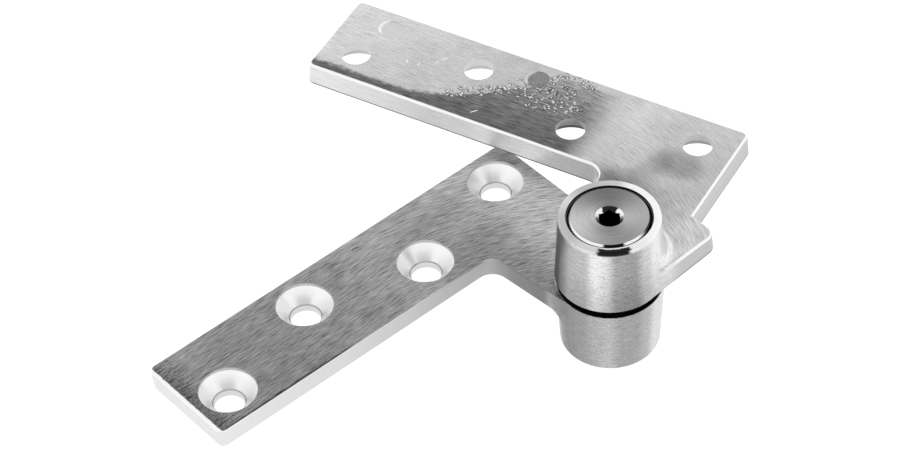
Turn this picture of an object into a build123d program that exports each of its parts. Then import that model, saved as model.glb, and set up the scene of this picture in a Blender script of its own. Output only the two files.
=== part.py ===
from build123d import *
from math import atan2, cos, radians, sin, sqrt, tan
import os

# Offset pivot hinge for the top corner of a door: two cast leaves that turn on one vertical pivot.
# Origin: on the pivot axis, in the plane where the frame leaf seats against the header.
# X runs along the frame leaf towards its free end, Z is up, and the leaf lies on the -Y side of the pivot.
# All sizes are millimetres and degrees.

# Leaves
LEAF_LENGTH = 107.0
LEAF_WIDTH = 26.6
LEAF_THICKNESS = 5.9
LEAF_OFFSET = 37.6
HEEL_OVERHANG = 11.8
LEAF_CORNER = 2.0
DOOR_GAP = 2.1
OPEN_ANGLE = 70.0
DRAFT = 4.5
EDGE_ROUND = 0.9
FACE_BREAK = 0.35

# Screw holes, in two staggered rows
SCREW_COUNT = 4
SCREW_PITCH = 29.3
FIRST_SCREW_X = -2.2
SCREW_STAGGER = 8.5
FRAME_SCREW_OFFSET = 37.1
DOOR_SCREW_OFFSET = 37.8
SCREW_HOLE_D = 7.2
SINK_D = 13.5
SINK_ANGLE = 82.0
SINK_LAND = 0.7

# Arms between leaf and knuckle
ARM_FOOT_X = 14.7
ARM_FOOT_FILLET = 3.6
ARM_INSET = 0.05
HORN_X = -18.7
HORN_Y = -18.9
HORN_ROOT_Y = -20.3
HORN_ROUND = 3.0
HORN_FALL = 11.0
FOLD_LEAN = 3.0

# Knuckles
FRAME_KNUCKLE_R = 12.75
DOOR_KNUCKLE_R = 12.6
FRAME_KNUCKLE_HEIGHT = 18.5
DOOR_KNUCKLE_HEIGHT = 17.9
KNUCKLE_DRAFT = 3.0
KNUCKLE_CORE_R = 7.4
KNUCKLE_EDGE = 0.6
KNUCKLE_BLEND = 4.0
GUSSET_HALF_WIDTH = 11.2
GUSSET_DEPTH = 5.4
GUSSET_SETBACK = 0.3
GUSSET_ROUND = 2.2

# Retractable pivot pin
PIN_D = 12.7
PIN_REACH = 9.0
PIN_RELEASE = 0.2
PIN_TOP_GAP = 0.2
PIN_FIT = 0.05
PIN_CHAMFER = 0.8
PIN_FLOOR = 2.0
THREAD_D = 6.0
THREAD_FIT = 0.05

# Adjusting screw that raises and lowers the pin
HEAD_BORE_D = 19.75
HEAD_BORE_DEPTH = 3.2
HEAD_FIT = 0.1
HEAD_SEAT_GAP = 0.05
HEAD_FLANGE = 1.6
BOSS_GAP = 0.125
HEAD_BOSS_CHAMFER = 0.45
HEAD_SUNK = 0.05
HEX_ACROSS_FLATS = 4.8
HEX_DEPTH = 3.4
HEX_SINK_D = 6.6
STEM_END_GAP = 0.25
STEM_CHAMFER = 0.5
BORE_CHAMFER = 0.25

# Snap ring of round wire that holds the adjusting screw down
RING_WIRE_D = 0.8
RING_OUTSET = 0.1
RING_FIT = 0.05
RING_SPLIT = 14.0
RING_SPLIT_AT = 62.0

# Dowel that keeps the pin from turning
DOWEL_D = 2.4
DOWEL_ENGAGED = 3.0
DOWEL_END_GAP = 0.4
DOWEL_SEAT_FIT = 0.02
DOWEL_SLIDE_FIT = 0.1
DOWEL_AT = -90.0

# Bushing and thrust washer of the door knuckle
BUSHING_OD = 16.0
BUSHING_OVERRUN = 1.0
BUSHING_CHAMFER = 0.5
BUSHING_SEAT_FIT = 0.02
BUSHING_FLOOR_GAP = 0.5
WASHER_OD = 18.0
WASHER_BORE_FIT = 0.15
WASHER_EDGE = 0.3
WASHER_PLAY = 0.06

# Ejector marks of the mould in the frame leaf's seating face
MARK_D = 5.6
MARK_DEPTH = 0.2
MARK_XS = (41.9, 82.5)
MARK_Y = -44.7

HEEL_X = -HEEL_OVERHANG
FREE_X = HEEL_X + LEAF_LENGTH
NEAR_Y = -LEAF_OFFSET + LEAF_WIDTH / 2
FAR_Y = -LEAF_OFFSET - LEAF_WIDTH / 2
FRAME_FACE_Z = -LEAF_THICKNESS
DOOR_FACE_Z = FRAME_FACE_Z - DOOR_GAP
PIN_R = PIN_D / 2
PIN_BORE_R = PIN_R + PIN_FIT
KNUCKLE_TOP_Z = FRAME_FACE_Z + FRAME_KNUCKLE_HEIGHT
HEAD_FLOOR_Z = KNUCKLE_TOP_Z - HEAD_BORE_DEPTH
PIN_TRAVEL = PIN_REACH + PIN_RELEASE
PIN_TOP_Z = HEAD_FLOOR_Z - PIN_TOP_GAP - PIN_TRAVEL
PIN_END_Z = DOOR_FACE_Z - PIN_REACH
THREAD_FLOOR_Z = PIN_END_Z + PIN_FLOOR
STEM_END_Z = THREAD_FLOOR_Z + PIN_TRAVEL + STEM_END_GAP
DOWEL_END_Z = PIN_TOP_Z - DOWEL_ENGAGED
BUSHING_LENGTH = PIN_REACH + BUSHING_OVERRUN
FLANGE_TOP_Z = HEAD_FLOOR_Z + HEAD_SEAT_GAP + HEAD_FLANGE
RING_R = HEAD_BORE_D / 2 + RING_OUTSET
RING_Z = FLANGE_TOP_Z + HEAD_SEAT_GAP + RING_WIRE_D / 2
REACH = 4 * LEAF_LENGTH


def tangent_point(x, y, r, side):
    """Where the line from (x, y) touches the circle of radius r round the pivot."""
    turn = side * atan2(sqrt(x * x + y * y - r * r), r)
    return r * cos(atan2(y, x) + turn), r * sin(atan2(y, x) + turn)


def corner(sketch, x, y):
    """The sketch's vertex nearest to (x, y)."""
    return min(sketch.vertices(), key=lambda v: (v.X - x) ** 2 + (v.Y - y) ** 2)


def rounded(solid):
    """The drafted solid with its outer face's rim rounded and its working face's rim broken.

    Edges inside the knuckle's core stay sharp.
    """
    def outside(edge):
        return Vector((edge @ 0.5).X, (edge @ 0.5).Y).length > KNUCKLE_CORE_R

    base = [e for e in solid.edges() if max(v.Z for v in e.vertices()) < FACE_BREAK / 2]
    solid = fillet([e for e in base if outside(e)], FACE_BREAK)
    top = [e for e in solid.edges() if min(v.Z for v in e.vertices()) > LEAF_THICKNESS / 2]
    return fillet([e for e in top if outside(e)], EDGE_ROUND)


def leaf_body(knuckle_r):
    """Leaf with the arm that reaches from its near edge to the knuckle."""
    foot = (ARM_FOOT_X, NEAR_Y)
    leaf = Pos(HEEL_X + LEAF_LENGTH / 2, -LEAF_OFFSET) * Rectangle(LEAF_LENGTH, LEAF_WIDTH)
    arm = make_face(
        Polyline(
            (HEEL_X, -LEAF_OFFSET),
            (HEEL_X, HORN_Y),
            (0, 0),
            tangent_point(*foot, knuckle_r - ARM_INSET, 1),
            foot,
            (ARM_FOOT_X, -LEAF_OFFSET),
            close=True,
        )
    )
    outline = leaf + arm
    for x, y in ((HEEL_X, FAR_Y), (FREE_X, FAR_Y), (FREE_X, NEAR_Y)):
        outline = fillet(corner(outline, x, y), LEAF_CORNER)
    outline = fillet(corner(outline, *foot), ARM_FOOT_FILLET)
    return rounded(extrude(outline, LEAF_THICKNESS, taper=DRAFT))


def horn_body(knuckle_r):
    """Horn beside the heel, whose outer face falls away from the fold at the leaf's end."""
    slope = (HORN_ROOT_Y - HORN_Y) / (HEEL_X - HORN_X)
    outline = make_face(
        Polyline(
            (HORN_X, HORN_Y),
            (0, HORN_Y - slope * HORN_X),
            (0, 0),
            tangent_point(HORN_X, HORN_Y, knuckle_r - ARM_INSET, -1),
            close=True,
        )
    )
    outline = fillet(corner(outline, HORN_X, HORN_Y), HORN_ROUND)
    solid = extrude(outline, 2 * LEAF_THICKNESS, taper=DRAFT)
    fold = Vector(sin(radians(FOLD_LEAN)), cos(radians(FOLD_LEAN)), 0)
    normal = Vector(-fold.Y * sin(radians(HORN_FALL)), fold.X * sin(radians(HORN_FALL)), cos(radians(HORN_FALL)))
    outer_face = Plane((HEEL_X, HORN_ROOT_Y, LEAF_THICKNESS), x_dir=fold, z_dir=normal)
    solid -= outer_face * Pos(0, 0, REACH / 2) * Box(REACH, REACH, REACH)
    return rounded(solid) - Pos(0, 0, LEAF_THICKNESS + REACH / 2) * Box(REACH, REACH, REACH)


def knuckle(r, height):
    """Drafted round boss with both its edges rounded."""
    boss = Pos(0, 0, height / 2) * Cone(r, r - height * tan(radians(KNUCKLE_DRAFT)), height)
    boss = fillet(boss.edges().sort_by(Axis.Z)[0], FACE_BREAK)
    return fillet(boss.edges().sort_by(Axis.Z)[-1], KNUCKLE_EDGE)


def blend(r, plates):
    """Hollow curve that fills the corner between the knuckle's side and the plates' outer faces."""
    side_r = r - LEAF_THICKNESS * tan(radians(KNUCKLE_DRAFT))
    top_r = side_r - KNUCKLE_BLEND * tan(radians(KNUCKLE_DRAFT))
    low = LEAF_THICKNESS - EDGE_ROUND
    top = LEAF_THICKNESS + KNUCKLE_BLEND
    foot_r = side_r + KNUCKLE_BLEND
    profile = make_face(
        [
            Polyline((top_r, top), (top_r - EDGE_ROUND, top), (top_r - EDGE_ROUND, low), (foot_r, low)),
            Line((foot_r, low), (foot_r, LEAF_THICKNESS)),
            RadiusArc((foot_r, LEAF_THICKNESS), (top_r, top), KNUCKLE_BLEND),
        ]
    )
    ring = revolve(Plane.XZ * profile, Axis.Z)
    outer_faces = [f for p in plates for f in p.faces() if f.normal_at().Z > cos(radians(2 * HORN_FALL))]
    return [ring & extrude(f, 2 * KNUCKLE_BLEND, dir=(0, 0, 1), both=True) for f in outer_faces]


def casting(knuckle_r, boss):
    """Leaf, arm, horn and the given boss in one, with the working face at z = 0."""
    plates = [leaf_body(knuckle_r), horn_body(knuckle_r)]
    solid = plates[0] + plates[1] + boss
    for piece in blend(knuckle_r, plates):
        solid += piece
    return solid


def gusset():
    """Straight-sided block behind the door knuckle."""
    height = DOOR_KNUCKLE_HEIGHT - GUSSET_SETBACK
    block = Pos(0, -GUSSET_DEPTH / 2, height / 2) * Box(2 * GUSSET_HALF_WIDTH, GUSSET_DEPTH, height)
    back = [e for e in block.edges().filter_by(Axis.Z) if (e @ 0.5).Y < -GUSSET_DEPTH / 2]
    block = fillet(back, GUSSET_ROUND)
    return fillet(block.faces().sort_by(Axis.Z)[-1].edges(), KNUCKLE_EDGE)


def drill(r, z0, z1):
    """Straight round cutter on the pivot axis between two heights."""
    return Pos(0, 0, (z0 + z1) / 2) * Cylinder(r, z1 - z0)


def screw_holes(offset):
    """Cutters for the countersunk screw holes, staggered about a line at the offset, opening at z = 0."""
    land = Pos(0, 0, SINK_LAND / 2) * Cylinder(SINK_D / 2, SINK_LAND)
    depth = (SINK_D - SCREW_HOLE_D) / 2 / tan(radians(SINK_ANGLE / 2))
    sink = Pos(0, 0, SINK_LAND + depth / 2) * Cone(SINK_D / 2, SCREW_HOLE_D / 2, depth)
    hole = Pos(0, 0, LEAF_THICKNESS / 2) * Cylinder(SCREW_HOLE_D / 2, LEAF_THICKNESS)
    cutter = land + sink + hole
    for i in range(SCREW_COUNT):
        x = FIRST_SCREW_X + i * SCREW_PITCH
        y = -offset - SCREW_STAGGER / 2 * (-1) ** i
        yield Pos(x, y, 0) * cutter


def turned(points):
    """Solid of revolution round the pivot axis from (radius, height) points."""
    return revolve(Plane.XZ * make_face(Polyline(*points, close=True)), Axis.Z)


def at_dowel(z):
    """Place on the pin bore's wall where the dowel stands."""
    return Rot(0, 0, DOWEL_AT) * Pos(PIN_BORE_R, 0, z)


def frame_leaf():
    solid = Pos(0, 0, FRAME_FACE_Z) * casting(FRAME_KNUCKLE_R, knuckle(FRAME_KNUCKLE_R, FRAME_KNUCKLE_HEIGHT))
    for cutter in screw_holes(FRAME_SCREW_OFFSET):
        solid -= Pos(0, 0, FRAME_FACE_Z) * cutter
    solid -= drill(PIN_BORE_R, FRAME_FACE_Z, KNUCKLE_TOP_Z)
    solid -= drill(HEAD_BORE_D / 2, HEAD_FLOOR_Z, KNUCKLE_TOP_Z)
    mouth_r = HEAD_BORE_D / 2 + BORE_CHAMFER
    solid -= Pos(0, 0, KNUCKLE_TOP_Z - BORE_CHAMFER / 2) * Cone(HEAD_BORE_D / 2, mouth_r, BORE_CHAMFER)
    solid -= Pos(0, 0, RING_Z) * Torus(RING_R, RING_WIRE_D / 2 + RING_FIT)
    dowel_length = HEAD_FLOOR_Z - DOWEL_END_Z
    solid -= at_dowel(DOWEL_END_Z + dowel_length / 2) * Cylinder(DOWEL_D / 2 + DOWEL_SEAT_FIT, dowel_length)
    for x in MARK_XS:
        solid -= Pos(x, MARK_Y, -MARK_DEPTH / 2) * Cylinder(MARK_D / 2, MARK_DEPTH)
    return solid


def door_leaf():
    solid = casting(DOOR_KNUCKLE_R, knuckle(DOOR_KNUCKLE_R, DOOR_KNUCKLE_HEIGHT) + gusset())
    for cutter in screw_holes(DOOR_SCREW_OFFSET):
        solid -= cutter
    bore_depth = BUSHING_LENGTH + BUSHING_FLOOR_GAP
    solid -= drill(BUSHING_OD / 2 + BUSHING_SEAT_FIT, 0, bore_depth)
    solid = mirror(solid, Plane.XY)
    return Pos(0, 0, DOOR_FACE_Z) * Rot(0, 0, OPEN_ANGLE) * solid


def adjusting_screw():
    bottom = HEAD_FLOOR_Z + HEAD_SEAT_GAP
    top = KNUCKLE_TOP_Z - HEAD_SUNK
    flange_r = HEAD_BORE_D / 2 - HEAD_FIT
    boss_r = RING_R - RING_WIRE_D / 2 - BOSS_GAP
    stem_r = THREAD_D / 2
    solid = turned(
        [
            (0, STEM_END_Z),
            (stem_r - STEM_CHAMFER, STEM_END_Z),
            (stem_r, STEM_END_Z + STEM_CHAMFER),
            (stem_r, bottom),
            (flange_r, bottom),
            (flange_r, FLANGE_TOP_Z),
            (boss_r, FLANGE_TOP_Z),
            (boss_r, top - HEAD_BOSS_CHAMFER),
            (boss_r - HEAD_BOSS_CHAMFER, top),
            (0, top),
        ]
    )
    socket = extrude(RegularPolygon(HEX_ACROSS_FLATS / 2, 6, major_radius=False), -HEX_DEPTH)
    sink_depth = (HEX_SINK_D - HEX_ACROSS_FLATS) / 2
    sink = Pos(0, 0, -sink_depth / 2) * Cone(HEX_ACROSS_FLATS / 2, HEX_SINK_D / 2, sink_depth)
    return solid - Pos(0, 0, top) * socket - Pos(0, 0, top) * sink


def snap_ring():
    wire = Torus(RING_R, RING_WIRE_D / 2, major_angle=360 - RING_SPLIT)
    return Pos(0, 0, RING_Z) * Rot(0, 0, RING_SPLIT_AT + RING_SPLIT / 2) * wire


def guide_dowel():
    top = HEAD_FLOOR_Z - HEAD_SEAT_GAP
    return at_dowel((DOWEL_END_Z + top) / 2) * Cylinder(DOWEL_D / 2, top - DOWEL_END_Z)


def pivot_pin():
    length = PIN_TOP_Z - PIN_END_Z
    solid = Pos(0, 0, PIN_END_Z + length / 2) * Cylinder(PIN_R, length)
    solid = chamfer(solid.edges().filter_by(GeomType.CIRCLE), PIN_CHAMFER)
    solid -= drill(THREAD_D / 2 + THREAD_FIT, THREAD_FLOOR_Z, PIN_TOP_Z)
    groove_length = DOWEL_ENGAGED + PIN_TRAVEL + DOWEL_END_GAP
    groove = Cylinder(DOWEL_D / 2 + DOWEL_SLIDE_FIT, groove_length)
    return solid - at_dowel(PIN_TOP_Z - groove_length / 2) * groove


def thrust_washer():
    top = FRAME_FACE_Z - WASHER_PLAY
    solid = drill(WASHER_OD / 2, DOOR_FACE_Z, top)
    solid = chamfer(solid.edges().filter_by(GeomType.CIRCLE), WASHER_EDGE)
    return solid - drill(PIN_R + WASHER_BORE_FIT, DOOR_FACE_Z, top)


def door_bushing():
    bottom = DOOR_FACE_Z - BUSHING_LENGTH
    solid = drill(BUSHING_OD / 2, bottom, DOOR_FACE_Z)
    solid = chamfer(solid.edges().filter_by(GeomType.CIRCLE).sort_by(Axis.Z)[0], BUSHING_CHAMFER)
    return solid - drill(PIN_BORE_R, bottom, DOOR_FACE_Z)


PIECES = (
    frame_leaf,
    adjusting_screw,
    snap_ring,
    guide_dowel,
    pivot_pin,
    thrust_washer,
    door_bushing,
    door_leaf,
)

if __name__ == "__main__":
    os.makedirs("parts", exist_ok=True)
    for piece in PIECES:
        export_step(piece(), f"parts/{piece.__name__}.step")
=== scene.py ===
# %% [markdown]
# # Offset pivot hinge: the look of two brushed castings
#
# The packed model gives the shapes. This script adds the finishes, the light, a floor and the camera.
# Every finish is worked out from a point's place on the part, so it stays put when the hinge turns.

# %% Load the packed model
from math import cos, degrees, radians, sin

import bpy
from mathutils import Matrix, Vector

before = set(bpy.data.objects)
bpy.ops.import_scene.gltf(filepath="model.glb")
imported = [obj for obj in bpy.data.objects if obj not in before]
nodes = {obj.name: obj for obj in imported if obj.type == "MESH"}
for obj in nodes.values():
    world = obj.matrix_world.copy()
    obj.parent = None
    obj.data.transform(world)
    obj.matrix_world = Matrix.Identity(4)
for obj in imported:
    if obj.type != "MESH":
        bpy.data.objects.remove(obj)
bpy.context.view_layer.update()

print("nodes:", sorted(nodes))

# %% [markdown]
# ## The camera
#
# Its place and turn were solved from the straight edges, rings and holes in the photograph, so the edges of
# the model fall on those of the picture. The lens is long, which keeps the sides of the leaves nearly
# parallel.

# %% Camera
FOCAL_PX = 3406.353
IMAGE_W = 900
SENSOR = 36.0
FAR_CLIP = 20
EYE = Vector((-0.24673086, 0.48181168, 0.55888944))
RIGHT = Vector((-0.87581944, -0.4812181, -0.03700601))
DOWN = Vector((-0.31993138, 0.63626168, -0.70200782))
FORWARD = Vector((0.36136437, -0.60299271, -0.71120713))

camera_data = bpy.data.cameras.new("camera")
camera_data.sensor_width = SENSOR
camera_data.lens = FOCAL_PX * SENSOR / IMAGE_W
camera_data.clip_end = FAR_CLIP
camera = bpy.data.objects.new("camera", camera_data)
turn = Matrix((RIGHT, -DOWN, -FORWARD)).transposed()
camera.matrix_world = Matrix.Translation(EYE) @ turn.to_4x4()
bpy.context.scene.collection.objects.link(camera)
bpy.context.scene.camera = camera
print("camera lens", round(camera_data.lens, 2), "mm")

# %% [markdown]
# ## Writing node graphs as sums
#
# A node material is a graph of small sums. Written node by node it is long and hard to read, so a small
# class stands for the output of a node and takes the usual signs for adding and multiplying. A finish below
# then reads like a formula.

# %% Sums of node outputs
def put(tree, kind, sockets=None, **settings):
    """Adds a node, sets its settings and fills or links the given input sockets."""
    made = tree.nodes.new("ShaderNode" + kind)
    for name, value in settings.items():
        setattr(made, name, value)
    join(tree, made, sockets or {})
    return made


def join(tree, made, sockets):
    """Links the sockets that get an output, and sets those that get a plain value."""
    for socket, value in sockets.items():
        value = getattr(value, "socket", value)
        if isinstance(value, bpy.types.NodeSocket):
            tree.links.new(value, made.inputs[socket])
        else:
            made.inputs[socket].default_value = value


class Amount:
    """A number in a node graph, which can be added and multiplied like a plain one."""

    def __init__(self, tree, socket):
        self.tree = tree
        self.socket = socket

    def calc(self, operation, other=0.0):
        """One Math node."""
        made = put(self.tree, "Math", {0: self, 1: other}, operation=operation)
        return Amount(self.tree, made.outputs[0])

    def __add__(self, other):
        return self.calc("ADD", other)

    def __sub__(self, other):
        return self.calc("SUBTRACT", other)

    def __mul__(self, other):
        return self.calc("MULTIPLY", other)

    def __truediv__(self, other):
        return self.calc("DIVIDE", other)

    def rise(self, start, end):
        """A smooth step from 0 where the number is at the start to 1 where it is at the end."""
        sockets = {"Value": self, "From Min": start, "From Max": end}
        made = put(self.tree, "MapRange", sockets, interpolation_type="SMOOTHSTEP")
        return Amount(self.tree, made.outputs[0])

    def within(self, start, end, soft):
        """1 between the start and the end, and 0 outside, with soft borders."""
        return self.rise(start - soft, start + soft) * self.rise(end + soft, end - soft)


print("steps of an amount:", [name for name in vars(Amount) if not name.startswith("_")])

# %% [markdown]
# A tone often changes along a leaf or round a knuckle. A colour ramp holds such a curve: it is given as
# pairs of a place and the grey that the screen shows there, from 0 to 255.

# %% Greys and curves
def grey(level):
    """The linear value of a grey that shows on the screen at the level, from 0 to 255."""
    return ((level / 255 + 0.055) / 1.055) ** 2.4


def curve(value, levels, interpolation="LINEAR"):
    """The grey at the value, read off a curve through the given places and levels."""
    places = sorted(levels)
    first, last = places[0], places[-1]
    sockets = {"Value": value, "From Min": first, "From Max": last}
    share = put(value.tree, "MapRange", sockets).outputs[0]
    made = put(value.tree, "ValToRGB", {0: share})
    made.color_ramp.interpolation = interpolation
    stops = made.color_ramp.elements
    while len(stops) < len(places):
        stops.new(0.5)
    for stop, place in zip(stops, places):
        stop.position = (place - first) / (last - first)
    for stop, place in zip(stops, places):
        stop.color = (grey(levels[place]),) * 3 + (1,)
    return Amount(value.tree, made.outputs[0])


print("linear value of grey 128:", round(grey(128), 3))

# %% [markdown]
# Five more helpers: a blend of two values, soft noise, a place made from its three numbers, the numbers taken
# out of it again, and a distance. Each stands for a few nodes, so a finish can be read without them.

# %% Mixes, noise and places
def mix(share, low, high):
    """The low value at share 0, the high value at share 1."""
    return Amount(share.tree, put(share.tree, "Mix", {0: share, 2: low, 3: high}).outputs[0])


def noise(tree, place, scales, detail=2.0, roughness=0.5):
    """Soft random values round 0, with its own scale along each axis of the place."""
    stretched = put(tree, "VectorMath", {0: place, 1: scales}, operation="MULTIPLY").outputs[0]
    sockets = {"Vector": stretched, "Scale": 1.0, "Detail": detail, "Roughness": roughness}
    return Amount(tree, put(tree, "TexNoise", sockets).outputs[0]) - 0.5


def vector(tree, x, y, z=0.0):
    """A place from its three numbers."""
    return put(tree, "CombineXYZ", {0: x, 1: y, 2: z}).outputs[0]


def parts_of(tree, place):
    """The three numbers of a place."""
    return [Amount(tree, socket) for socket in put(tree, "SeparateXYZ", {0: place}).outputs]


def length(tree, x, y):
    """The distance of (x, y) from the origin."""
    made = put(tree, "VectorMath", {0: vector(tree, x, y)}, operation="LENGTH")
    return Amount(tree, made.outputs["Value"])


print("helpers:", [helper.__name__ for helper in (mix, noise, vector, parts_of, length)])

# %% [markdown]
# ## Effects shared by the castings
#
# An effect that several finishes use is a node group: it is built once and placed where it is needed. The
# two functions here make an empty group and place one.

# %% Node groups
def new_group(name, inputs, outputs):
    """An empty node group with its sockets, and the ends that its nodes are linked to."""
    group = bpy.data.node_groups.new(name, "ShaderNodeTree")
    for label, kind in inputs.items():
        group.interface.new_socket(label, in_out="INPUT", socket_type="NodeSocket" + kind)
    for label in outputs:
        group.interface.new_socket(label, in_out="OUTPUT", socket_type="NodeSocketFloat")
    return group, group.nodes.new("NodeGroupInput").outputs, group.nodes.new("NodeGroupOutput")


def use(tree, group, **sockets):
    """Places a node group, fills its inputs and gives its outputs by name."""
    made = tree.nodes.new("ShaderNodeGroup")
    made.node_tree = group
    join(tree, made, sockets)
    return {socket.name: Amount(tree, socket) for socket in made.outputs}


print("node groups so far:", len(bpy.data.node_groups))

# %% [markdown]
# ### Brush lines
#
# The castings were belt ground. A belt leaves fine lines a few tenths of a millimetre wide and several
# millimetres long. Noise that is drawn out along x and squeezed across it gives such lines. Two widths
# are added, and a third noise, cut at a level, leaves only its rare peaks: the single deeper scratches.

# %% Brush lines
FINE_PER_MM = (0.26, 3.7, 3.7)
BROAD_PER_MM = (0.08, 0.8, 0.8)
SCRATCHES_PER_MM = (0.16, 1.9, 1.9)

brushing, inside, ends = new_group("brushing", {"Place": "Vector"}, ["Lines", "Scratches"])
fine = noise(brushing, inside["Place"], FINE_PER_MM, 1.0, 0.6)
broad = noise(brushing, inside["Place"], BROAD_PER_MM)
deep = noise(brushing, inside["Place"], SCRATCHES_PER_MM, 1.0)
join(brushing, ends, {"Lines": fine * 4.6 + broad * 0.8, "Scratches": deep.rise(0.1, 0.2)})
print("brushing group nodes:", len(brushing.nodes))

# %% [markdown]
# ### Grain
#
# Sand leaves small pits in a casting: high-frequency noise cut at a level gives them. The same noise, not
# cut, makes every tone a little uneven, so both come from one group.

# %% Grain
GRAIN_PER_MM = (1.8, 1.8, 1.8)

grain, inside, ends = new_group("grain", {"Place": "Vector"}, ["Grain", "Pits"])
coarse = noise(grain, inside["Place"], GRAIN_PER_MM, 3.0, 0.8)
join(grain, ends, {"Grain": coarse * 2.0, "Pits": coarse.rise(0.12, 0.2)})
print("grain group nodes:", len(grain.nodes))

# %% [markdown]
# ### Etched flakes
#
# The frame leaf carries a patch where its skin was etched into small flakes with dark rims. Cells of a
# Voronoi pattern have that shape: the middle of a cell is the flake, a narrow band further out its rim, and
# a random number of the cell decides whether there is a flake at all. The place is bent by noise first, so
# that the flakes aren't round.

# %% Etched flakes
CELLS_PER_MM = 1.1
BENT_MM = (2.0, 2.0, 0.0)

etching, inside, ends = new_group("etching", {"Place": "Vector"}, ["Flakes", "Rims"])
wander = put(etching, "TexNoise", {"Vector": inside["Place"], "Scale": 0.9, "Detail": 2.0}).outputs["Color"]
bent = put(etching, "VectorMath", {0: wander, 1: BENT_MM, 2: inside["Place"]}, operation="MULTIPLY_ADD")
sockets = {"Vector": bent.outputs[0], "Scale": CELLS_PER_MM}
cells = put(etching, "TexVoronoi", sockets, voronoi_dimensions="2D").outputs
away = Amount(etching, cells["Distance"])
there = parts_of(etching, cells["Color"])[0].rise(0.4, 0.5)
flakes = away.rise(0.34, 0.22) * there
join(etching, ends, {"Flakes": flakes, "Rims": away.within(0.32, 0.56, 0.06) * there})
print("etching group nodes:", len(etching.nodes))

# %% [markdown]
# ### Single strokes
#
# A few marks have their own place: a soft dark streak, a bright scratch. Each is the set of points near a
# line from one point to another. The point's way along the line, kept between 0 and 1, gives the nearest
# point of the line, and the distance to that point over the width gives the mark.

# %% Strokes
stroke, inside, ends = new_group(
    "stroke", {"Place": "Vector", "Start": "Vector", "Along": "Vector", "Width": "Float"}, ["Mark"]
)
start, along = inside["Start"], inside["Along"]
from_start = put(stroke, "VectorMath", {0: inside["Place"], 1: start}, operation="SUBTRACT").outputs[0]
run = put(stroke, "VectorMath", {0: from_start, 1: along}, operation="DOT_PRODUCT").outputs["Value"]
whole = put(stroke, "VectorMath", {0: along, 1: along}, operation="DOT_PRODUCT").outputs["Value"]
share = put(stroke, "Math", {0: run, 1: whole}, operation="DIVIDE", use_clamp=True).outputs[0]
foot = put(stroke, "VectorMath", {0: along, "Scale": share}, operation="SCALE").outputs[0]
gap = put(stroke, "VectorMath", {0: from_start, 1: foot}, operation="DISTANCE").outputs["Value"]
join(stroke, ends, {"Mark": (Amount(stroke, gap) / inside["Width"]).rise(1.0, 0.2)})
print("stroke group nodes:", len(stroke.nodes))

# %% [markdown]
# ## Place on a leaf
#
# The patterns are laid out in millimetres in the leaf's own directions: x along it, y across it. The door
# leaf stands open by 70 degrees, so its places are turned back by that angle.

# %% Places
OPEN_ANGLE = 70.0
PER_METRE = 1000.0


def leaf_place(tree, turned_by):
    """The three Object coordinates in millimetres, turned back round z by the leaf's opening angle."""
    coordinates = put(tree, "TexCoord").outputs["Object"]
    sockets = {"Vector": coordinates, "Rotation": (0, 0, -radians(turned_by)), "Scale": (PER_METRE,) * 3}
    return parts_of(tree, put(tree, "Mapping", sockets).outputs[0])


def upward(tree):
    """How far a face looks straight up or down, from 0 on walls to 1."""
    return parts_of(tree, put(tree, "TexCoord").outputs["Normal"])[2].calc("ABSOLUTE")


def degrees_round(x, y):
    """The angle of (x, y) in degrees from -90 to 270, counted from the x axis."""
    return (x * -1.0).calc("ARCTAN2", y) * degrees(1) + 90.0


def edge_highlight(tree):
    """1 on the rounded edges between a face and a wall, where a painted highlight makes the metal bright."""
    return upward(tree).within(0.3, 1.1, 0.15)


print("door leaf turned back by", OPEN_ANGLE, "degrees")

# %% [markdown]
# Each leaf has four screw holes that stand in turn on two rows. Rounding the way along the leaf to whole
# steps gives the nearest hole, and a cosine that flips its sign at each step gives the row.

# %% Nearest screw hole
HOLE_PITCH = 29.3
FIRST_HOLE_X = -2.2
HALF_STAGGER = 4.25
HOLE_EDGE = (7.3, 6.9)


def from_hole(x, y, row):
    """The place seen from the axis of the nearest screw hole."""
    along = (x - FIRST_HOLE_X) / HOLE_PITCH
    step = along.calc("ROUND")
    side = (step * radians(180)).calc("COSINE")
    return (along - step) * HOLE_PITCH, y + row + side * HALF_STAGGER


print("holes at x", [round(FIRST_HOLE_X + HOLE_PITCH * step, 1) for step in range(4)], "mm")

# %% [markdown]
# ## Cast metal
#
# Metal has no paint on it: it shows what it mirrors, multiplied by its own tone. The faces mirror the sky
# of the studio, the walls its white floor. A tone meant for a face is therefore divided by the level of
# that sky, so that it renders as it is written.

# %% A metal and its level
SKY_LEVEL = 0.9
CAST_ROUGHNESS = 0.34
RELIEF_DEPTH = 0.00008


def new_metal(name, roughness):
    """A metal material with its shader's plain settings."""
    material = bpy.data.materials.new(name)
    material.use_nodes = True
    shader = material.node_tree.nodes["Principled BSDF"]
    shader.inputs["Metallic"].default_value = 1
    shader.inputs["Roughness"].default_value = roughness
    return material, material.node_tree, shader


def cast_skin(tree, shader, tone, lines, grains, flat):
    """Links the tone, with a relief and a roughness that follow the brush lines and the grain."""
    relief = lines * flat + grains * 0.3
    bump = put(tree, "Bump", {"Strength": 0.3, "Distance": RELIEF_DEPTH, "Height": relief}).outputs[0]
    rough = grains * 0.08 + lines * 0.03 + CAST_ROUGHNESS
    join(tree, shader, {"Base Color": tone, "Normal": bump, "Roughness": rough})


print("faces are divided by", SKY_LEVEL)

# %% [markdown]
# The belt ran along the leaf, and turned with the casting on the way round to the knuckle. Past the point
# where it turned, the lines therefore follow circles round one centre.

# %% Bent brush lines
TURN_X = 38.0
TURN_CENTRE_Y = 43.0
TURN_RADIUS = 80.0


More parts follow.
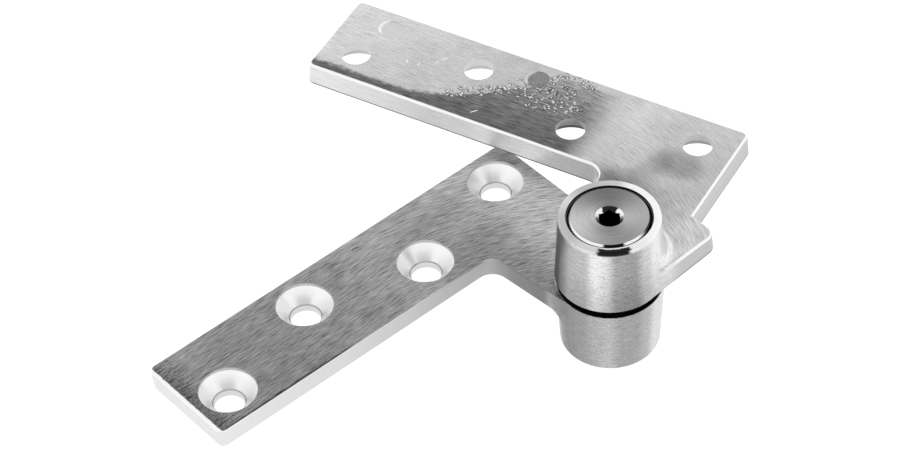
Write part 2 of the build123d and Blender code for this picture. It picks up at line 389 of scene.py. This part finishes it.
def bend_lines(tree, x, y):
    """Places whose lines run straight along x, and follow circles round the turn's centre below its x."""
    back = (x - TURN_X).calc("MINIMUM", 0.0)
    ahead = (x - TURN_X).calc("MAXIMUM", 0.0)
    radius = length(tree, back, y - TURN_CENTRE_Y)
    angle = (back * -1.0).calc("ARCTAN2", (y * -1.0) + TURN_CENTRE_Y)
    return vector(tree, ahead - angle * TURN_RADIUS, radius)


print("lines bend below x", TURN_X, "mm")

# %% [markdown]
# ### The door leaf
#
# Its face is ground darker at the free end, where the belt was put down and left a coarse dark band, and
# gets lighter towards the knuckle. Across the arm lies a darker patch of painted shade from the knuckle. A
# table of greys along the leaf gives the slow change, and noise the streaks and the coarse band.

# %% Door leaf face
DOOR_FACE_TONES = {-12: 186, 4: 176, 10: 158, 16: 150, 22: 147, 30: 154, 38: 152, 46: 141, 54: 142, 62: 138,
                   70: 134, 80: 135, 87: 142, 90: 136, 92.5: 112, 95.5: 90}
END_BAND = (88.5, 91.5)


def door_face(tree, x, y, lines, scratches, grains):
    """The tone of the ground face, by the place along the leaf, with streaks, a coarse end band and painted
    shade across the arm.
    """
    far_side = (y * -1.0).rise(43, 50) * 0.12
    # Painted shade from the knuckle: the face is darker across the arm.
    arm_shade = y.rise(-37, -27) * x.within(5, 25, 5) * -0.25
    tone = curve(x, DOOR_FACE_TONES) * (far_side + 1.0) * (arm_shade + 1.0)
    cloud = noise(tree, vector(tree, x, y), (0.05, 0.16, 1.0), 1.0)
    end_band = (x + grains * 1.5).rise(*END_BAND)
    streaks = lines * mix(end_band, 0.46, 0.5) + scratches * -0.3 + cloud * 0.4
    speckle = noise(tree, vector(tree, x, y), (1.3, 2.6, 1.0), 2.0, 0.8) * mix(end_band, 0.7, 3.4)
    return tone * (streaks + speckle + 1.0) * (1 / SKY_LEVEL)


print("door face greys:", min(DOOR_FACE_TONES.values()), "to", max(DOOR_FACE_TONES.values()))

# %% [markdown]
# Along the near edge the belt folded a burr over, which shows as a rough dark line. At the free end the
# rounded edge carries a painted highlight with a ragged border. Between the knuckles the seat of the washer
# is painted black as shade under the upper knuckle, and scraped bare towards its rim.

# %% Door leaf edges and seat
BURR_Y = (-25.1, -24.9)
END_HIGHLIGHT_X = (94.2, 94.5)


def door_edges(face, x, y, lines, grains):
    """Adds the burr along the near edge and the painted highlight strip at the free end to the face's tone."""
    burr = (y + lines * 0.5).rise(*BURR_Y) * x.within(57, 91, 3)
    face = mix(burr, face, grey(70))
    # The bright strip at the free end is a painted highlight on the rounded edge.
    return mix((x + grains * 0.35).rise(*END_HIGHLIGHT_X), face, 1.0)


def seat_shade_and_scrapes(tree, face, pivot, angle, z):
    """Adds painted black shade on the washer's seat under the upper knuckle, and the scraped ring round it, to
    the face's tone.
    """
    # Painted black shade inside the seat under the upper knuckle, with the scraped ring outside it.
    shaded_seat = pivot.rise(12.9, 12.3) * z.within(-9.0, -7.0, 0.5)
    seat_lines = noise(tree, vector(tree, pivot, angle), (2.4, 0.05, 1.0), 2.0, 0.8)
    scraped = (seat_lines * 1.6 + 0.9).calc("MAXIMUM", 0.1)
    return mix(shaded_seat, face, mix(pivot.rise(12.5, 12.1), scraped, 0.02))


print("burr at y", BURR_Y, "mm, bright end past x", END_HIGHLIGHT_X[0], "mm")

# %% [markdown]
# The countersinks are almost white. In each of them the photograph shows a soft grey wedge above the hole,
# where the cone mirrors the dark side of the room, and a thin grey ring where the cone meets the bore. The
# wedge is the part of the cone whose direction from the hole's axis is near one angle.

# %% Door leaf countersinks
DOOR_ROW = 37.8
BORE_RADIUS = 3.6
SINK_RADIUS = 6.75
WEDGE_AT = radians(-124)
WEDGE_TONES = {0: 255, 0.5: 244, 1: 212}


def countersink(tree, x, y):
    """The tone of the cone and bore, and a mask of the circle that they fill."""
    across, up = from_hole(x, y, DOOR_ROW)
    distance = length(tree, across, up)
    towards = (across * cos(WEDGE_AT) + up * sin(WEDGE_AT)) / distance
    wedge = towards.rise(0.8, 1.0) * distance.rise(7.4, 3.9)
    cone = curve(wedge, WEDGE_TONES)
    tone = mix(distance.rise(BORE_RADIUS + 0.35, BORE_RADIUS + 0.2), cone, grey(176))
    tone = mix(distance.rise(BORE_RADIUS + 0.08, BORE_RADIUS + 0.02), tone, grey(226))
    tone = mix(distance.rise(SINK_RADIUS - 0.13, SINK_RADIUS - 0.01), tone, grey(205))
    return tone, distance.rise(*HOLE_EDGE)


print("countersinks from radius", BORE_RADIUS, "to", SINK_RADIUS, "mm")

# %% [markdown]
# ### Both knuckles
#
# The knuckles were polished by hand round their axis. Their sides carry soft upright bands of lighter and
# darker tone, which are painted reflections. A band's tone is a curve over the angle round the pivot. Fine
# lines run round, and the skin is pitted on the side where the polishing stopped.

# %% Knuckle sides
UPPER_REFLECTION_BANDS = {-90: 205, -20: 150, 0: 150, 20: 120, 40: 105, 55: 135, 70: 178, 88: 184, 102: 232, 112: 214,
               125: 160, 145: 152, 160: 198, 175: 226, 195: 240, 250: 232, 270: 205}
LOWER_REFLECTION_BANDS = {-90: 205, -20: 160, 0: 140, 12: 128, 22: 176, 40: 196, 50: 150, 60: 140, 85: 162, 100: 184,
               115: 196, 130: 172, 145: 170, 160: 188, 175: 226, 200: 232, 250: 215, 270: 205}
MM_PER_DEGREE = 0.22
PITTED_ANGLES = (88, 158)


def knuckle_side(tree, angle, z, bands):
    """The tone of a knuckle's side: its painted reflection bands, fine lines round it and pits on one side."""
    around = vector(tree, angle * MM_PER_DEGREE, z)
    lines = noise(tree, around, (0.35, 3.2, 1.0), 2.0, 0.7)
    marks = noise(tree, around, (1.9, 1.9, 1.0), 3.0, 0.8)
    pitted = angle.within(*PITTED_ANGLES, 14)
    pits = marks.rise(0.1, 0.2) * (pitted * 0.32 + 0.05)
    # The bands are painted reflections, laid into the tone as a curve over the angle.
    tone = curve(angle, bands, "EASE")
    return tone * (lines * 1.2 + marks * (pitted * 0.8 + 0.7) + 1.0) * (pits * -1.0 + 1.0)


print("bands of the upper and lower knuckle:", len(UPPER_REFLECTION_BANDS), len(LOWER_REFLECTION_BANDS))

# %% [markdown]
# The door leaf's finish joins these parts. Where the surface looks up or down it counts as a face, and
# elsewhere as a wall; the grain moves the border between them a little. The face comes first: its ground
# tone, its edges and the washer's seat.

# %% Door leaf material: the faces
material, tree, shader = new_metal("door_casting", CAST_ROUGHNESS)
x, y, z = leaf_place(tree, OPEN_ANGLE)
world_x, world_y, _ = leaf_place(tree, 0)
pivot = length(tree, x, y)
angle = degrees_round(world_x, world_y)
brushed = use(tree, brushing, Place=bend_lines(tree, x, y))
spots = use(tree, grain, Place=vector(tree, x, y, z))
lines, grains = brushed["Lines"], spots["Grain"]
flat = (upward(tree) + grains * 0.03).rise(0.84, 0.95)

face = door_face(tree, x, y, lines, brushed["Scratches"], grains)
face = door_edges(face, x, y, lines, grains)
face = seat_shade_and_scrapes(tree, face, pivot, angle, z)
print("door casting nodes for the faces:", len(tree.nodes))

# %% [markdown]
# The walls get lighter towards the free end, a painted reflection, and greyer on the arm, a painted shade,
# and turn into the knuckle's painted reflection bands near the pivot. Their rounded edges carry a painted
# highlight. Each tone is mixed over the one before, from the large forms to the small ones, so the
# countersinks come last.

# %% Door leaf material: the walls
DOOR_WALL_REFLECTION_TONES = {-20: 190, 8: 178, 20: 182, 28: 190, 40: 208, 60: 228, 92: 240}
DOOR_ARM_SHADE_TONES = {-24: 172, -18: 140, -10: 128}

# Painted highlight on the rounded edges, strongest at the free end.
highlight_and_wear_band = edge_highlight(tree) * (x.rise(84, 90) * 0.9 + 0.1)
skin = spots["Pits"] * -0.12 + grains * 0.13 + 1.0
# Painted reflection: the walls get lighter towards the free end.
wall = mix(highlight_and_wear_band, curve(x, DOOR_WALL_REFLECTION_TONES), 1.0) * skin
arm_side = y.rise(-24.4, -22.0) * pivot.rise(12.5, 16.0)
# Painted shade on the arm's side towards the knuckle.
wall = mix(arm_side, wall, curve(y, DOOR_ARM_SHADE_TONES))
wall = mix(pivot.rise(15.5, 13.0), wall, knuckle_side(tree, angle, z, LOWER_REFLECTION_BANDS))
sink, hole = countersink(tree, x, y)
wall = mix(hole, wall, sink * (grains * 0.05 + 1.0))
cast_skin(tree, shader, mix(flat, wall, face), lines, grains, flat)
door_casting = material
print("door casting nodes:", len(tree.nodes))

# %% [markdown]
# ### The frame leaf
#
# Its face is light, with a dark zone that starts as a narrow band at the near edge of the free end, widens
# towards the middle and ends there with a ragged border. The border is a power of the way along the leaf,
# moved to and fro by noise and the brush lines.

# %% Dark zone of the frame face
ZONE_FROM, ZONE_TO = 72.0, 36.0
ZONE_START = 27.3
ZONE_DEPTH = 20.5
ZONE_POWER = 1.8


def dark_zone(tree, x, y, lines, cloud):
    """1 inside the dark zone, and the distance to its border, which falls back as a power of the way."""
    sockets = {"Value": x, "From Min": ZONE_FROM, "From Max": ZONE_TO}
    way = Amount(tree, put(tree, "MapRange", sockets).outputs[0])
    border = way.calc("POWER", ZONE_POWER) * -ZONE_DEPTH - ZONE_START
    ragged = cloud * 3.0 + lines * 0.6
    above = (y - border + ragged).rise(-0.7, 0.7)
    ended = (x + ragged * 0.9).rise(18.5, 27.0)
    return above * ended, y - border


print("dark zone reaches", ZONE_DEPTH, "mm across the leaf")

# %% [markdown]
# Flakes of the cast skin lie along that border and round one of two mould marks. The heel is darker, in a
# soft round spot and a streak towards the arm.

# %% Frame leaf face
FRAME_LIGHT_TONES = {-14: 190, -4: 190, 6: 194, 14: 203, 24: 194, 44: 187, 62: 195, 95: 212}
FRAME_DARK_TONES = {24: 98, 28: 104, 33: 112, 38: 130, 44: 146, 50: 160}
STREAK = {"Start": (3.0, -32.5, 0.0), "Along": (3.0, 8.0, 0.0), "Width": 4.6}


def ground_face(tree, place, x, y, lines, scratches):
    """The light and the dark tone with their brushing, mixed by the zone, its border and the noise in it."""
    cloud = noise(tree, place, (0.5, 0.6, 1.0), 4.0, 0.7)
    haze = noise(tree, place, (0.09, 0.12, 1.0), 1.0)
    speckle = noise(tree, place, (1.6, 2.2, 1.0), 2.0, 0.8)
    light = curve(x, FRAME_LIGHT_TONES)
    light = light * ((y * -1.0).rise(28, 50) * 0.1 + 0.93 + haze * 0.25 + lines * 0.17 + speckle * 0.55)
    light = mix(speckle.rise(0.13, 0.22) * x.rise(44, 62) * 0.6, light, grey(240))
    dark = curve(y * -1.0, FRAME_DARK_TONES)
    dark = dark * (lines * 0.6 + scratches * -0.25 + haze * 0.4 + speckle * 0.7 + 1.0)
    zone, over = dark_zone(tree, x, y, lines, cloud)
    return mix(zone, light, dark), over, cloud


def frame_face(tree, place, x, y, lines, scratches):
    """The tone of the face: the ground metal, the flakes on it and the darker heel."""
    tone, over, cloud = ground_face(tree, place, x, y, lines, scratches)
    etched = use(tree, etching, Place=place)
    patch = length(tree, (x - 38.0) * 0.75, (y + 40.8) * 1.3).rise(10.5, 4.0)
    skirt = over.within(-3.0, 1.2, 1.0) * x.within(28, 61, 4)
    cover = (patch.calc("MAXIMUM", skirt) + cloud * 1.6).rise(0.3, 0.75)
    tone = mix(etched["Rims"] * cover * 0.9, tone, grey(72))
    tone = mix(etched["Flakes"] * cover * 0.9, tone, grey(222))
    streak = use(tree, stroke, Place=place, **STREAK)["Mark"]
    heel = length(tree, x + 1.0, (y + 33.5) * 1.4).rise(9.0, 3.0)
    return tone * (streak * -0.2 + 1.0) * (heel * -0.34 + 1.0)


print("light greys", sorted(set(FRAME_LIGHT_TONES.values())), "dark greys", list(FRAME_DARK_TONES.values()))

# %% [markdown]
# Two round mould marks are pressed into the face. Each is a disc with a tone of its own and a painted
# highlight, a bright crescent at its rim, which is there only on the side towards +x. The short bright
# scratches are strokes with places of their own.

# %% Mould marks and scratches
MARK_RADIUS = 2.8
MOULD_MARKS = [((41.9, -44.7), 118, 205), ((82.5, -44.7), 206, 255)]
SCRATCH_WIDTH = 0.2
SCRATCHES = [
    ((65.3, -41.4, 0), (0.9, 0.9, 0)), ((70.3, -37.0, 0), (0.1, 0.8, 0)), ((73.6, -36.9, 0), (-0.3, 1.0, 0)),
    ((66.6, -39.4, 0), (0.2, 0.6, 0)), ((50.0, -28.6, 0), (1.0, 1.2, 0)), ((58.6, -40.6, 0), (0.9, 0.9, 0)),
]


def mould_mark(tree, tone, x, y, at, level, glint):
    """A round mark pressed into the face, with a painted highlight crescent on the side towards +x."""
    across, up = x - at[0], y - at[1]
    distance = length(tree, across, up)
    tone = mix(distance.rise(MARK_RADIUS + 0.1, MARK_RADIUS - 0.1) * 0.8, tone, grey(level))
    rim = distance.within(MARK_RADIUS - 0.25, MARK_RADIUS + 0.4, 0.12)
    # The crescent on the +x side is a painted highlight.
    return mix(rim * (across / distance).rise(0.45, 0.85), tone, grey(glint))


print("mould marks:", len(MOULD_MARKS), "scratches:", len(SCRATCHES))

# %% [markdown]
# The arm is light where it leaves the leaf and darkens towards the knuckle with painted shade, so it gets
# a curve of its own along x and is mixed in over a slanting border.

# %% Frame leaf details and arm
ARM_SHADE_TONES = {-18: 205, -13: 200, -9: 188, -4: 174, 0: 160, 6: 132, 10: 120}


def frame_details(tree, tone, place, x, y, lines):
    """Adds the scratches, the two mould marks and the arm's tones with their painted shade to the face's tone.
    """
    for start, along in SCRATCHES:
        mark = use(tree, stroke, Place=place, Start=start, Along=along, Width=SCRATCH_WIDTH)["Mark"]
        tone = mix(mark, tone, grey(250))
    for at, level, glint in MOULD_MARKS:
        tone = mould_mark(tree, tone, x, y, at, level, glint)
    # Painted shade: the arm darkens towards the knuckle.
    arm = curve(x, ARM_SHADE_TONES) * (lines * 0.3 + 1.0)
    return mix((y + x * 0.1).rise(-27.5, -21.0) * x.rise(20, 11), tone, arm)


print("arm greys:", min(ARM_SHADE_TONES.values()), "to", max(ARM_SHADE_TONES.values()))

# %% [markdown]
# Looking down a hole of this leaf, the eye meets the short bore and below it a strip of the countersink,
# which is cut from the other side. Both are about as light as the face round the hole, so the four holes
# take three curves over the depth: one for the heel, one for the light face and one for the dark zone.

# %% Frame leaf holes
FRAME_ROW = 37.1
# Each curve gets darker deeper in the bore, which is painted shade.
HEEL_BORE = {-5.9: 160, -1.9: 178, -1.5: 196, 0: 204}
LIGHT_BORE = {-5.9: 204, -1.9: 214, -1.5: 222, 0: 226}
DIM_BORE = {-5.9: 92, -1.9: 104, -1.4: 144, 0: 176}


def frame_hole(tree, x, y, z):
    """The tone of a bore by its depth, and a mask of the circle round it."""
    across, up = from_hole(x, y, FRAME_ROW)
    distance = length(tree, across, up)
    bright = mix(x.rise(10, 45), curve(z, HEEL_BORE), curve(z, LIGHT_BORE))
    tone = mix(x.within(20, 36, 2), bright, curve(z, DIM_BORE))
    return tone, distance.rise(*HOLE_EDGE)


print("greys at the top of the bores:", HEEL_BORE[0], LIGHT_BORE[0], DIM_BORE[0])

# %% [markdown]
# The knuckle's top is a bright turned rim, whose tone round the angle is a painted reflection. On one side
# of its rounded edge lies a black patch, and along the outer edge a painted white highlight with rough
# dark specks. The tone is a curve over the angle, and the highlight, specks and patch are windows of angle
# and radius with noisy borders.

# %% Frame leaf knuckle
RIM_REFLECTION_TONES = {-90: 250, -70: 205, -30: 190, 0: 222, 30: 196, 60: 194, 85: 214, 110: 222, 150: 240, 180: 253,
             250: 252, 270: 250}
PATCH_ANGLES = (103, 141)
PATCH_RADIUS = (10.4, 10.65)


def knuckle_rim(tree, pivot, angle, z):
    """The tone of the rim round the screw, a painted reflection, with its painted shine, its rough specks and
    the black patch.
    """
    # The rim's tone round the angle is a painted reflection.
    rim = curve(angle, RIM_REFLECTION_TONES, "EASE")
    rough = noise(tree, vector(tree, angle * 0.2, z, pivot), (1.2, 1.5, 2.5), 3.0, 0.8)
    # Painted highlight along the outer edge.
    shine = pivot.rise(11.5, 12.1) * angle.within(45, 150, 12)
    rim = mix(shine, rim, grey(252))
    highlight_and_wear_band = pivot.rise(11.2, 12.4) * angle.within(20, 160, 20)
    rim = rim * (rough.rise(0.02, 0.14) * highlight_and_wear_band * -0.55 + 1.0)
    patch = (angle + rough * 16.0).within(*PATCH_ANGLES, 2) * (pivot + rough * 0.8).rise(*PATCH_RADIUS)
    return mix(patch * z.rise(11.1, 11.6), rim, grey(34))


print("black patch between", PATCH_ANGLES, "degrees")

# %% [markdown]
# The frame leaf's finish joins its parts as the door leaf's does. Its underside is plain brushed metal,
# because the photograph shows nothing of it.

# %% Frame leaf material: the faces
material, tree, shader = new_metal("frame_casting", CAST_ROUGHNESS)
x, y, z = leaf_place(tree, 0)
pivot = length(tree, x, y)
angle = degrees_round(x, y)
place = vector(tree, x, y)
spots = use(tree, grain, Place=vector(tree, x, y, z))
brushed = use(tree, brushing, Place=bend_lines(tree, x, y))
lines, grains = brushed["Lines"], spots["Grain"]
flat = (upward(tree) + grains * 0.04).rise(0.84, 0.95)

face = frame_face(tree, place, x, y, lines, brushed["Scratches"])
face = frame_details(tree, face, place, x, y, lines) * (1 / SKY_LEVEL)
plain = (lines * 0.2 + 1.0) * grey(190)
face = mix(z.rise(-3.5, -2.0), plain, face)
print("frame casting nodes for the faces:", len(tree.nodes))

# %% [markdown]
# The walls were ground along the leaf too, which left long lines on them, so their noise is laid out over
# x and z. Their tone along x is a painted reflection, and their rounded edges carry a painted highlight. A
# thin grey line of painted shade runs along their lower edge. The holes are laid over the walls.

# %% Frame leaf material: the walls
FRAME_WALL_REFLECTION_TONES = {-20: 196, -12: 206, 4: 196, 12: 214, 20: 240, 30: 246, 42: 240, 50: 216, 60: 208,
                    75: 226, 92: 238}
LOWER_EDGE_SHADE_Z = (-6.2, -5.35)

side_lines = noise(tree, vector(tree, x, z), (0.2, 2.2, 1.0), 2.0, 0.7)
skin = spots["Pits"] * -0.12 + side_lines * 0.4 + grains * 0.13 + 1.0
# Painted reflection along the wall, and a painted highlight on its rounded edges.
wall = mix(edge_highlight(tree), curve(x, FRAME_WALL_REFLECTION_TONES), 1.0) * skin
# Painted shade along the lower rounded edge.
wall = mix(z.within(*LOWER_EDGE_SHADE_Z, 0.12), wall, grey(128))
bore, hole = frame_hole(tree, x, y, z)
wall = mix(hole, wall, bore)
print("frame casting nodes with the walls:", len(tree.nodes))

# %% [markdown]
# The knuckle's side carries its painted reflection bands and is lighter towards its top, with painted shade
# lower down. Its rim is laid over the walls and the face alike, because the rounded edge has points of both
# kinds. The underside, over the gap to the lower knuckle, is grey with painted shade. The well round the
# screw is almost black, because hardly any light comes back out of it.

# %% Frame leaf material: the knuckle
WELL_RADIUS = 10.0

# Painted reflection bands, with painted shade towards the bottom of the side.
side = knuckle_side(tree, angle, z, UPPER_REFLECTION_BANDS) * (z.rise(-6, 8) * 0.36 + 0.84)
wall = mix(pivot.rise(16.5, 13.2), wall, side)
rim = knuckle_rim(tree, pivot, angle, z)
edge = z.rise(11.2, 11.9) * pivot.rise(WELL_RADIUS - 0.2, WELL_RADIUS + 0.2)
wall = mix(edge, wall, rim)
face = mix(z.rise(0.6, 2.2), face, rim)
# Painted shade on the underside where it faces the gap over the lower knuckle.
shaded_underside = pivot.rise(13.2, 12.7) * z.rise(-5.0, -5.6)
face = mix(shaded_underside, face, grey(120))
well = pivot.rise(WELL_RADIUS + 0.05, WELL_RADIUS - 0.05) * z.rise(12.55, 12.4)
tone = mix(well, mix(flat, wall, face), grey(30))
cast_skin(tree, shader, tone, lines, grains, flat)
frame_casting = material
print("frame casting nodes:", len(tree.nodes))

# %% [markdown]
# ## The screw's disc
#
# The disc was faced on a lathe. Its fine rings stretch every reflection into two light and two dark wings
# that meet at the centre, like a bow tie. A cosine of twice the angle has two highs and two lows in a turn,
# which is such a pair of wings. A sine of the angle makes the near side lighter, more so towards the rim,
# and noise over the radius alone gives the rings.

# %% Turned disc: the face
DISC_ROUGHNESS = 0.26
DISC_LEVEL = 155
WING_LEVELS = 26
WINGS_AT_SOCKET, WINGS_AT_RIM = 28, 38
NEAR_AT_SOCKET, NEAR_AT_RIM = 7, 20


def grey_of(level):
    """The linear value of a grey whose level is an amount: the sum of grey(), written with nodes."""
    return ((level / 255 + 0.055) / 1.055).calc("POWER", 2.4)


def bow_tie(angle, share):
    """Level + wings * cos(2 (angle - direction)) + near * sin(angle), from the socket at 0 to the rim at 1."""
    turned = (angle - mix(share, WINGS_AT_SOCKET, WINGS_AT_RIM)) * radians(2)
    wings = turned.calc("COSINE") * WING_LEVELS
    near = (angle * radians(1)).calc("SINE") * mix(share, NEAR_AT_SOCKET, NEAR_AT_RIM)
    return grey_of(wings + near + DISC_LEVEL)


material, tree, shader = new_metal("turned_disc", DISC_ROUGHNESS)
x, y, z = leaf_place(tree, 0)
pivot = length(tree, x, y)
angle = degrees_round(x, y)
rings = noise(tree, vector(tree, pivot, angle * 0.01), (4.5, 1.0, 1.0), 2.0, 0.7)
wings = bow_tie(angle, pivot.rise(4.0, 7.5)) * (rings * 0.55 + 1.0) * (1 / SKY_LEVEL)
print("turned disc nodes for the face:", len(tree.nodes))

# %% [markdown]
# The disc's slanting edge is white on the near side, a painted highlight, with a black mark beside the
# patch of the knuckle's rim. The socket's chamfer shines in two places with uneven borders, which noise added
# to the angle gives. The socket itself is almost black, painted shade deep in the recess.

# %% Turned disc: its edge and the socket
RIGHT_GLINT = (-26, 74)
LEFT_GLINT = (186, 256)

flat = upward(tree).rise(0.9, 0.98)
blotch = noise(tree, vector(tree, x, y), (0.9, 0.9, 1.0), 1.0)
blotched = angle + blotch * 50.0
glint = blotched.within(*RIGHT_GLINT, 6).calc("MAXIMUM", blotched.within(*LEFT_GLINT, 6))
chamfer = mix(glint, grey(40), grey(245))
# Painted highlight: the near side of the slanting edge is white.
edge = mix(angle.within(20, 170, 12), grey(60), grey(250))
edge = mix(angle.within(108, 138, 3), edge, grey(20))
slope = mix(pivot.rise(4.5, 6.0), chamfer, edge)
tone = mix(flat, slope, wings)
# Painted shade deep in the socket.
deep = z.rise(11.7, 11.2)
join(tree, shader, {"Base Color": mix(deep, tone, grey(18))})
turned_disc = material
print("turned disc nodes:", len(tree.nodes))

# %% [markdown]
# ## The hidden parts
#
# The pin, the dowel and the washer are turned steel with faint rings along their axis. The bushing is
# bronze, and the snap ring blackened spring steel.

# %% Hidden turned parts
TURNING_DEPTH = 0.00003


def turned_metal(name, colour, roughness, ring_depth):
    """Turned metal with fine rings along z and a faint grain, in its own colour."""
    made, tree, shader = new_metal(name, roughness)
    x, y, z = leaf_place(tree, 0)
    rings = noise(tree, vector(tree, z, length(tree, x, y)), (3.0, 3.0, 1.0), 2.0, 0.7)
    shade = rings * ring_depth + 1.0
    tinted = put(tree, "VectorMath", {0: colour, "Scale": shade}, operation="SCALE").outputs[0]
    bump = put(tree, "Bump", {"Strength": 0.2, "Distance": TURNING_DEPTH, "Height": rings}).outputs[0]
    join(tree, shader, {"Base Color": tinted, "Normal": bump})
    return made


steel = turned_metal("turned_steel", (0.55, 0.55, 0.54), 0.28, 0.5)
bronze = turned_metal("bronze", (0.6, 0.44, 0.24), 0.35, 0.3)
black = turned_metal("black_ring", (0.1, 0.1, 0.1), 0.4, 0.3)
print("turned metals:", steel.name, bronze.name, black.name)

# %% [markdown]
# ## Finishes on the pieces
#
# Each piece gets its finish by its name. The pieces that aren't named here are the three of turned steel.

# %% Finishes on the pieces
finishes = {"door_leaf": door_casting, "frame_leaf": frame_casting, "adjusting_screw": turned_disc,
            "snap_ring": black, "door_bushing": bronze}
for name, node in nodes.items():
    node.data.materials.clear()
    node.data.materials.append(finishes.get(name, steel))
print("finishes:", {name: node.data.materials[0].name for name, node in nodes.items()})

# %% [markdown]
# ## Light
#
# The sides of the real part look almost white, because they mirror the white table, and its top faces are
# greyer, because they mirror the room above. The world does the same: white at the horizon and a little
# greyer overhead. The camera sees it as plain white.

# %% World
SKY_FROM, SKY_TO = 0.48, 0.74

world = bpy.data.worlds.new("studio")
bpy.context.scene.world = world
world.use_nodes = True
tree = world.node_tree
light_path = put(tree, "LightPath").outputs
height = parts_of(tree, put(tree, "TexCoord").outputs["Generated"])[2]
sky = mix(height.rise(SKY_FROM, SKY_TO), 1.0, SKY_LEVEL)
strength = mix(Amount(tree, light_path["Is Camera Ray"]), sky, 1.0)
join(tree, tree.nodes["Background"], {"Color": (1, 1, 1, 1), "Strength": strength})
bpy.context.scene.view_settings.view_transform = "Standard"
print("sky level overhead", SKY_LEVEL)

# %% [markdown]
# ## Floor
#
# A plain pale floor lies below the hinge. It glows for the camera and in reflections, which makes it white
# there without adding light to the object, and its own colour keeps the soft shadow.

# %% Floor
FLOOR_Z = -0.10
FLOOR_HALF = 4.0

corners = [(-FLOOR_HALF, -FLOOR_HALF), (FLOOR_HALF, -FLOOR_HALF),
           (FLOOR_HALF, FLOOR_HALF), (-FLOOR_HALF, FLOOR_HALF)]
floor_mesh = bpy.data.meshes.new("floor")
floor_mesh.from_pydata([(x, y, FLOOR_Z) for x, y in corners], [], [(0, 1, 2, 3)])
floor = bpy.data.objects.new("floor", floor_mesh)
bpy.context.scene.collection.objects.link(floor)
print("floor at", FLOOR_Z, "m")

# %% [markdown]
# The floor's paint asks what kind of ray arrives. It glows for rays from the camera and for mirrored ones,
# and is a plain grey for all others, which shows the shadow.

# %% Floor material
FLOOR_GLOW = 0.65
MIRRORED_GLOW = 0.5

floor_paint = bpy.data.materials.new("floor_paint")
floor_paint.use_nodes = True
tree = floor_paint.node_tree
light_path = put(tree, "LightPath").outputs
mirrored = Amount(tree, light_path["Is Glossy Ray"]).calc("MAXIMUM", light_path["Is Transmission Ray"])
glow = (Amount(tree, light_path["Is Camera Ray"]) * FLOOR_GLOW).calc("MAXIMUM", mirrored * MIRRORED_GLOW)
join(tree, tree.nodes["Principled BSDF"], {
    "Base Color": (0.5, 0.5, 0.5, 1), "Roughness": 1.0, "Emission Color": (1, 1, 1, 1),
    "Emission Strength": glow,
})
floor_mesh.materials.append(floor_paint)
print("floor glow for the camera and in reflections:", FLOOR_GLOW, MIRRORED_GLOW)

# %% [markdown]
